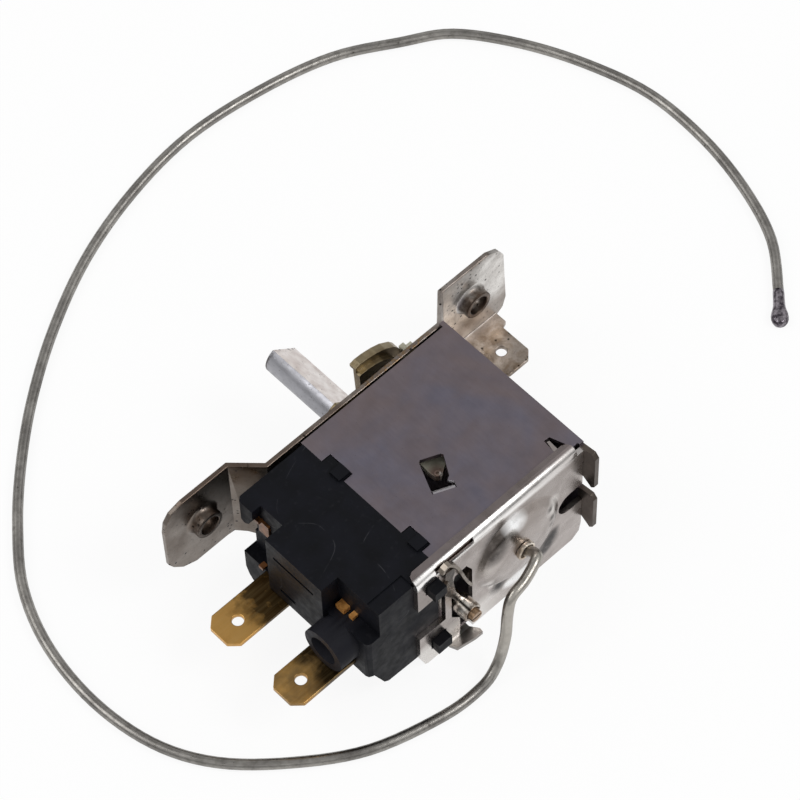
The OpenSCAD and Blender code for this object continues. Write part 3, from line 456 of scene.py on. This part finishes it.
def cover_steel():
    """Blue-grey and brown tinted steel of the cover, rolled, with fine scratches and painted light on the
    lip by its window.
    """
    look = Look("tinted_steel_cover")
    wide = look.spread(look.noise(16, 3, distortion=0.8), 0.38, 0.66)
    cloud = look.spread(look.noise(6, 4, distortion=0.5), 0.4, 0.7)
    base = look.mix(wide, "#817679", "#787480")
    base = look.mix(look.times(cloud, 0.5), base, "#796b69")
    lines = look.spread(look.noise(0.5, 3, stretch=(1, 0.2, 1)), 0.35, 0.75)
    base = look.mix(look.times(lines, 0.12), base, "#958e92")
    specks = look.spread(look.cells(1.1), 0.08, 0.03)
    base = look.mix(look.times(specks, 0.3), base, "#3e393b")
    # Painted light: the small lip bent down beside the window is made nearly white
    lip = look.times(look.spread(look.axis("Z"), COVER_TOP - 0.05, COVER_TOP - 0.2),
                     look.spread(look.from_line((WINDOW_LIP_X, WINDOW_LIP_Y, None)), 2.6, 2.2))
    base = look.mix(lip, base, "#f1eff2")
    folded = look.spread(look.axis("Y"), REAR_Y - 0.3, REAR_Y + 0.3)
    base = look.mix(folded, base, look.mix(look.noise(2.5, 4), "#6f665f", "#463f3a"))
    roughness = look.uneven(3, 0.34, 0.5)
    grain = look.noise(0.3, 3, stretch=(1, 0.08, 1))
    return look.done(base, 1.0, roughness, look.bump(grain, 0.004))


COVER = cover_steel()


def black_moulding():
    """Black phenolic: satin, faint mottling and dust in the corners, with a painted sheen on the boss."""
    look = Look("black_phenolic_moulding")
    cloud = look.spread(look.noise(4, 4), 0.35, 0.7)
    base = look.mix(cloud, "#0b0c10", "#12131a")
    dust = look.spread(look.noise(0.8, 4), 0.6, 0.78)
    base = look.mix(look.times(dust, 0.2), base, "#3a3a3e")
    # Painted sheen: the round boss is made a little lighter than the block
    boss = look.spread(look.from_line((None, BOSS_Y, BOSS_Z)), BOSS_R + 0.7, BOSS_R - 0.3)
    base = look.mix(look.times(boss, 0.8), base, "#232329")
    scratch = look.times(look.contour(look.noise(9.0, 0, stretch=(0.5, 1, 1)), 0.0016),
                         look.spread(look.noise(3.0, 3), 0.5, 0.6))
    base = look.mix(look.times(scratch, 0.2), base, "#77777c")
    roughness = look.uneven(1.5, 0.42, 0.62)
    return look.done(base, 0.0, roughness, look.bump(look.noise(0.2, 3), 0.006), Specular_IOR_Level=0.12)


PHENOLIC = black_moulding()


def rolled_brass():
    """Rolled brass of the blades: dull gold, darkening to brown-black toward the block."""
    look = Look("rolled_brass_blade")
    patches = look.spread(look.noise(4, 5, distortion=0.5), 0.42, 0.7)
    base = look.mix(look.times(patches, 0.6), "#d3a45e", "#96692f")
    rear = look.times(look.spread(look.axis("Y"), BLADES_MIDDLE_Y - 2.5, BLADES_MIDDLE_Y + 2.5),
                      look.spread(look.noise(3, 4), 0.3, 0.6))
    base = look.mix(look.times(rear, 0.7), base, "#7a6444")
    # Darker, brown-black toward the block, in blotches
    inner = look.spread(look.axis("X"), BLADE_ROOT_X + 7.5, BLADE_ROOT_X)
    blots = look.spread(look.noise(2.6, 5, distortion=0.3), 0.3, 0.62, 0.45, 1.0)
    rust = look.spread(look.times(inner, blots), 0.34, 0.62)
    base = look.mix(look.times(rust, 0.9), base, "#2c2012")
    lines = look.spread(look.noise(0.35, 3, stretch=(0.06, 1, 1)), 0.4, 0.8)
    base = look.mix(look.times(lines, 0.15), base, "#dcc28c")
    roughness = look.uneven(2, 0.28, 0.46)
    grain = look.noise(0.25, 3, stretch=(0.1, 1, 1))
    return look.done(base, 1.0, roughness, look.bump(grain, 0.004))


BRASS = rolled_brass()
# Turned brass of the spindle bush and the thrust pad: dull gold, lightly stained
BRASS_PART = worn_metal("turned_brass", "#b89c5e", "#7b6234", "#33281a", stain_mm=2, pits=0.2)
# Yellow-passivated steel of the cam: drab gold, browner in patches, well pitted
YELLOW = worn_metal("yellow_passivated_steel", "#93866c", "#5c4c33", "#241d14", stain_mm=4,
                    rough=(0.26, 0.44), pits=0.5)
# Tarnished nickel of the ferrule: warm white, gone brown in patches
TARNISHED = worn_metal("tarnished_nickel", "#f0e7da", "#9c866e", "#2f241b", stain_mm=2.2, pits=0.4)


def clamp_nickel():
    """Nickel of the split sleeve: bright on the barrel, brown on the arm above it, with painted shade in its
    slit.
    """
    look = Look("tarnished_nickel_clamp")
    patches = look.spread(look.noise(1.3, 4, distortion=0.6), 0.42, 0.62)
    base = look.mix(look.times(patches, 0.5), "#fffaf2", "#94734f")
    end = look.times(look.spread(look.axis("Y"), SLEEVE_END - 0.7, SLEEVE_END - 0.1),
                     look.spread(look.noise(0.8, 4), 0.35, 0.55, 0.4, 1.0))
    base = look.mix(look.times(end, 0.75), base, "#5a4430")
    # Painted shade: a dark line where the sleeve's slit runs, laid on last
    slit = look.spread(look.from_line((RANGE_X + 0.6, None, RANGE_Z + 1.6)), 0.34, 0.18)
    arm = look.spread(look.axis("Z"), RANGE_Z + 1.6, RANGE_Z + 2.8)
    base = look.mix(look.times(arm, 0.95), base, look.mix(patches, "#41342a", "#1c1510"))
    base = look.mix(look.times(slit, 0.95), base, "#15100c")
    roughness = look.uneven(1.2, 0.16, 0.34, detail=3)
    return look.done(base, 1.0, roughness, look.bump(look.noise(0.4, 3), 0.012))


CLAMP = clamp_nickel()
# Tarnished steel of the curled strip: grey, with brown patches
HOOD = worn_metal("tarnished_strip_steel", "#968d83", "#4f463e", "#231d18", stain_mm=1.8, pits=0.3)
# Tarnished steel of the range screw: brown, darker in patches
SCREW = worn_metal("tarnished_screw", "#ab8f74", "#52402f", "#211914", stain_mm=1.6, pits=0.4)
# Blackened steel of the screw in the boss: nearly black
DARK_STEEL = worn_metal("blackened_steel", "#4b4643", "#2c2826", "#171412", stain_mm=2, pits=0.2)


def passivated_follower():
    """Olive passivated steel, dull enough to show through the window, worn brown at its button, with a
    painted highlight on it.
    """
    look = Look("passivated_follower")
    patches = look.spread(look.noise(2.5, 5, distortion=0.6), 0.42, 0.72)
    base = look.mix(look.times(patches, 0.8), "#c9c6b4", "#8f8a74")
    rubbed = look.times(look.spread(look.from_line((BUTTON_X, BUTTON_Y, None)), 1.9, 0.8),
                        look.spread(look.noise(0.7, 4), 0.3, 0.5, 0.6, 1.0))
    base = look.mix(look.times(rubbed, 0.85), base, "#94766b")
    # Painted highlight: a small glint on the button
    button_highlight = look.spread(look.from_line((BUTTON_X - 0.4, BUTTON_Y + 0.5, None)), 0.5, 0.2)
    base = look.mix(look.times(button_highlight, 0.8), base, "#f4ece4")
    roughness = look.uneven(2.2, 0.24, 0.42)
    return look.done(base, 0.3, roughness, look.bump(look.noise(0.25, 3), 0.006))


FOLLOWER = passivated_follower()


def copper_strip():
    """Rolled copper alloy of the strips: orange beside the boss, with painted shade making it browner in the
    front recess.
    """
    look = Look("rolled_copper_alloy")
    patches = look.spread(look.noise(1.2, 4, distortion=0.5), 0.42, 0.65)
    rear = look.mix(look.times(patches, 0.8), "#ffb866", "#a5662a")
    # Painted shade: the same copper alloy, darker and browner where it lies in the front recess
    front = look.mix(look.times(patches, 0.8), "#85552f", "#4a3220")
    base = look.mix(look.spread(look.axis("Y"), 12, 20), front, rear)
    roughness = look.uneven(1.0, 0.28, 0.42, detail=3)
    return look.done(base, 0.45, roughness, look.bump(look.noise(0.25, 3), 0.006))


COPPER = copper_strip()
# Silver of the two contacts: white, with a faint grey tarnish
SILVER = worn_metal("silver_contact", "#dddcd6", "#a7a49a", "#54504a", stain_mm=1, pits=0.1)
# Bare steel of the two posts: mid grey, stained
STEEL = worn_metal("bare_steel", "#9b9893", "#6e675f", "#2c2825", stain_mm=3)
# Drawn wire of the range spring and the spindle's clip: dark grey
WIRE = worn_metal("drawn_spring_wire", "#7f7d7b", "#55504c", "#2a2725", stain_mm=1.2)


def cast_zinc():
    """Die-cast spindle: pale, with a pinkish tint, many small pits and painted shade on its round flank."""
    look = Look("die_cast_zinc")
    cloud = look.spread(look.noise(2.5, 4), 0.38, 0.7)
    base = look.mix(cloud, "#f4eeeb", "#dbd0cb")
    # Painted shade: the round flank, turned away from the flat, is made grey
    flank_shade = look.facing(FLAT_NORMAL)
    base = look.mix(look.spread(flank_shade, 0.97, 0.86), base, "#a6a6ab")
    pits = look.spread(look.cells(0.55), 0.22, 0.08)
    some = look.spread(look.noise(1.6, 3), 0.48, 0.6)
    base = look.mix(look.times(look.times(pits, some), 0.7), base, "#6a5f5d")
    tip = look.times(look.spread(look.axis("Y"), SPINDLE_TIP + 0.7, SPINDLE_TIP),
                     look.spread(look.noise(0.9, 3), 0.45, 0.55))
    base = look.mix(tip, base, "#4a4340")
    roughness = look.uneven(1.2, 0.3, 0.5)
    hollows = look.times(pits, -1.0)
    return look.done(base, 1.0, roughness, look.bump(hollows, 0.02))


ZINC = cast_zinc()


def tube_metal():
    """Tinned capillary: grey-brown, streaked and spotted with dark tarnish, with a painted highlight where
    it rises to the cup.
    """
    look = Look("tinned_capillary")
    cloud = look.spread(look.noise(6, 5), 0.4, 0.68)
    base = look.mix(cloud, "#a19e99", "#797673")
    fine = look.spread(look.noise(0.9, 4), 0.45, 0.75)
    base = look.mix(look.times(fine, 0.5), base, "#5a5650")
    # Painted highlight: the tube is lighter where it rises off the surface toward the cup
    base = look.mix(look.spread(look.axis("Z"), TUBE_LIFT_Z, -8.0, 0.0, 0.45), base, "#cfc9bf")
    spots = look.times(look.spread(look.cells(1.6), 0.16, 0.05), look.spread(look.noise(5, 2), 0.5, 0.6))
    base = look.mix(look.times(spots, 0.8), base, "#35302a")
    roughness = look.uneven(1.0, 0.26, 0.44)
    return look.done(base, 1.0, roughness, look.bump(look.noise(0.4, 3), 0.012))


TUBE_METAL = tube_metal()


def solder():
    """Dull dark solder at the tube's end."""
    look = Look("dull_solder")
    base = look.mix(look.spread(look.noise(0.8, 4), 0.42, 0.62), "#958f95", "#453f46")
    return look.done(base, 1.0, 0.24, look.bump(look.noise(0.7, 3), 0.12))


SOLDER = solder()
# Moulded insulator of the push pin: pale buff and satin
INSULATOR = Look("moulded_insulator").done("#cbbda4", 0.0, 0.5)

# Each node's finish
FINISH = {
    "mounting_bracket": NICKEL, "cover_shell": COVER, "rear_plate": NICKEL_REAR,
    "diaphragm_ring": NICKEL_REAR, "diaphragm": NICKEL_REAR, "thrust_pad": BRASS_PART,
    "capillary_ferrule": TARNISHED, "capillary_tip": SOLDER, "adjuster_clamp": CLAMP,
    "adjuster_hood": HOOD, "range_screw": SCREW, "switch_block": PHENOLIC,
    "switch_lid": PHENOLIC, "terminal_front": BRASS, "terminal_rear": BRASS,
    "contact_springs": COPPER, "fixed_contact": SILVER, "contact_blade": COPPER,
    "moving_contact": SILVER, "push_pin": INSULATOR, "differential_screw": DARK_STEEL,
    "spindle": ZINC, "spindle_bush": BRASS_PART, "spindle_clip": WIRE, "cam": YELLOW,
    "follower_pin": STEEL, "follower_lever": FOLLOWER, "range_spring": WIRE, "lever_pin": STEEL,
    "main_lever": NICKEL, "capillary_tube": TUBE_METAL}
# Width of the small rounded edges, on the nodes whose edges show
BEVEL_MM = {
    "mounting_bracket": 0.14, "cover_shell": 0.14, "rear_plate": 0.14, "switch_block": 0.22,
    "terminal_front": 0.1, "terminal_rear": 0.1, "spindle": 0.2, "cam": 0.12,
    "adjuster_clamp": 0.1, "range_screw": 0.12, "differential_screw": 0.15,
    "follower_lever": 0.1, "capillary_ferrule": 0.15}


def dress(obj, material):
    """The material as the object's only one."""
    obj.data.materials.clear()
    obj.data.materials.append(material)


def soften(obj, width_mm):
    """Small rounded edges on a CAD node, as a modifier."""
    weld = obj.modifiers.new("weld", "WELD")
    weld.merge_threshold = 1e-6
    bevel = obj.modifiers.new("bevel", "BEVEL")
    bevel.width = width_mm * MM
    bevel.segments = 2
    bevel.limit_method = "ANGLE"
    bevel.angle_limit = math.radians(40)


for name, obj in nodes.items():
    dress(obj, FINISH[name])
    if name in BEVEL_MM:
        soften(obj, BEVEL_MM[name])
dress(capillary, TUBE_METAL)
dress(solder_drop, SOLDER)


# Floor, world and lamps

def make_floor():
    """White floor, partly glowing to the camera and in metal: pale, and it still takes the shadow."""
    bpy.ops.mesh.primitive_plane_add(size=6, location=(0, 0, FLOOR_Z * MM))
    floor = bpy.context.active_object
    floor.name = "floor"
    material = bpy.data.materials.new("pale_floor")
    material.use_nodes = True
    tree = material.node_tree
    tree.nodes.clear()
    path = add(tree, "ShaderNodeLightPath")
    seen = add(tree, "ShaderNodeMath", {0: path.outputs["Is Camera Ray"],
                                        1: path.outputs["Is Glossy Ray"]}, operation="MAXIMUM")
    share = add(tree, "ShaderNodeMapRange", {
        "Value": path.outputs["Is Camera Ray"], "To Min": 0.55, "To Max": 0.9}).outputs["Result"]
    share = add(tree, "ShaderNodeMath", {0: seen.outputs[0], 1: share}, operation="MULTIPLY")
    matt = add(tree, "ShaderNodeBsdfDiffuse", {"Color": (0.98, 0.98, 0.98, 1)})
    white = add(tree, "ShaderNodeEmission", {"Color": (1, 1, 1, 1), "Strength": 1.0})
    shader = add(tree, "ShaderNodeMixShader", {
        0: share.outputs[0], 1: matt.outputs["BSDF"], 2: white.outputs["Emission"]})
    add(tree, "ShaderNodeOutputMaterial", {"Surface": shader.outputs["Shader"]})
    floor.data.materials.append(material)


# What metal mirrors of the studio: height on the sphere round it, from the ground up, and brightness
STUDIO_GLOSS = [(0.0, 0.25), (0.25, 0.3), (0.5, 0.85), (0.7, 0.8), (0.84, 0.42), (1.0, 0.42)]
STUDIO_LIGHT = 0.55


def make_world():
    """White to the camera, soft even light on matt surfaces, and a banded sky in metal."""
    world = bpy.data.worlds.new("studio")
    bpy.context.scene.world = world
    world.use_nodes = True
    tree = world.node_tree
    tree.nodes.clear()
    path = add(tree, "ShaderNodeLightPath")
    seen = add(tree, "ShaderNodeMath", {0: path.outputs["Is Camera Ray"],
                                        1: path.outputs["Is Transmission Ray"]}, operation="MAXIMUM")
    way = add(tree, "ShaderNodeTexCoord").outputs["Generated"]
    height = add(tree, "ShaderNodeSeparateXYZ", {"Vector": way}).outputs["Z"]
    ramp = add(tree, "ShaderNodeValToRGB", {"Fac": height})
    while len(ramp.color_ramp.elements) < len(STUDIO_GLOSS):
        ramp.color_ramp.elements.new(0.5)
    for element, (place, bright) in zip(ramp.color_ramp.elements, STUDIO_GLOSS):
        element.position = place
        element.color = (bright, bright, bright, 1)
    glossy = add(tree, "ShaderNodeMix", {
        "Factor": path.outputs["Is Glossy Ray"], 2: STUDIO_LIGHT, 3: ramp.outputs["Color"]},
        data_type="FLOAT")
    strength = add(tree, "ShaderNodeMix", {
        "Factor": seen.outputs[0], 2: glossy.outputs[0], 3: 1.0}, data_type="FLOAT")
    back = add(tree, "ShaderNodeBackground", {"Color": (1, 1, 1, 1), "Strength": strength.outputs[0]})
    add(tree, "ShaderNodeOutputWorld", {"Surface": back.outputs["Background"]})


def make_lamp(name, place, size, watts):
    """Square soft lamp that looks at the origin."""
    data = bpy.data.lights.new(name, "AREA")
    data.shape = "SQUARE"
    data.size = size
    data.energy = watts
    lamp = bpy.data.objects.new(name, data)
    bpy.context.scene.collection.objects.link(lamp)
    lamp.location = place
    lamp.rotation_euler = (-Vector(place)).to_track_quat("-Z", "Y").to_euler()


make_floor()
make_world()
make_lamp("key", (-0.36, 0.56, 0.80), size=0.4, watts=3.0)
make_lamp("fill", (0.55, -0.35, 0.75), size=0.6, watts=2.4)
bpy.context.scene.view_settings.view_transform = "Standard"
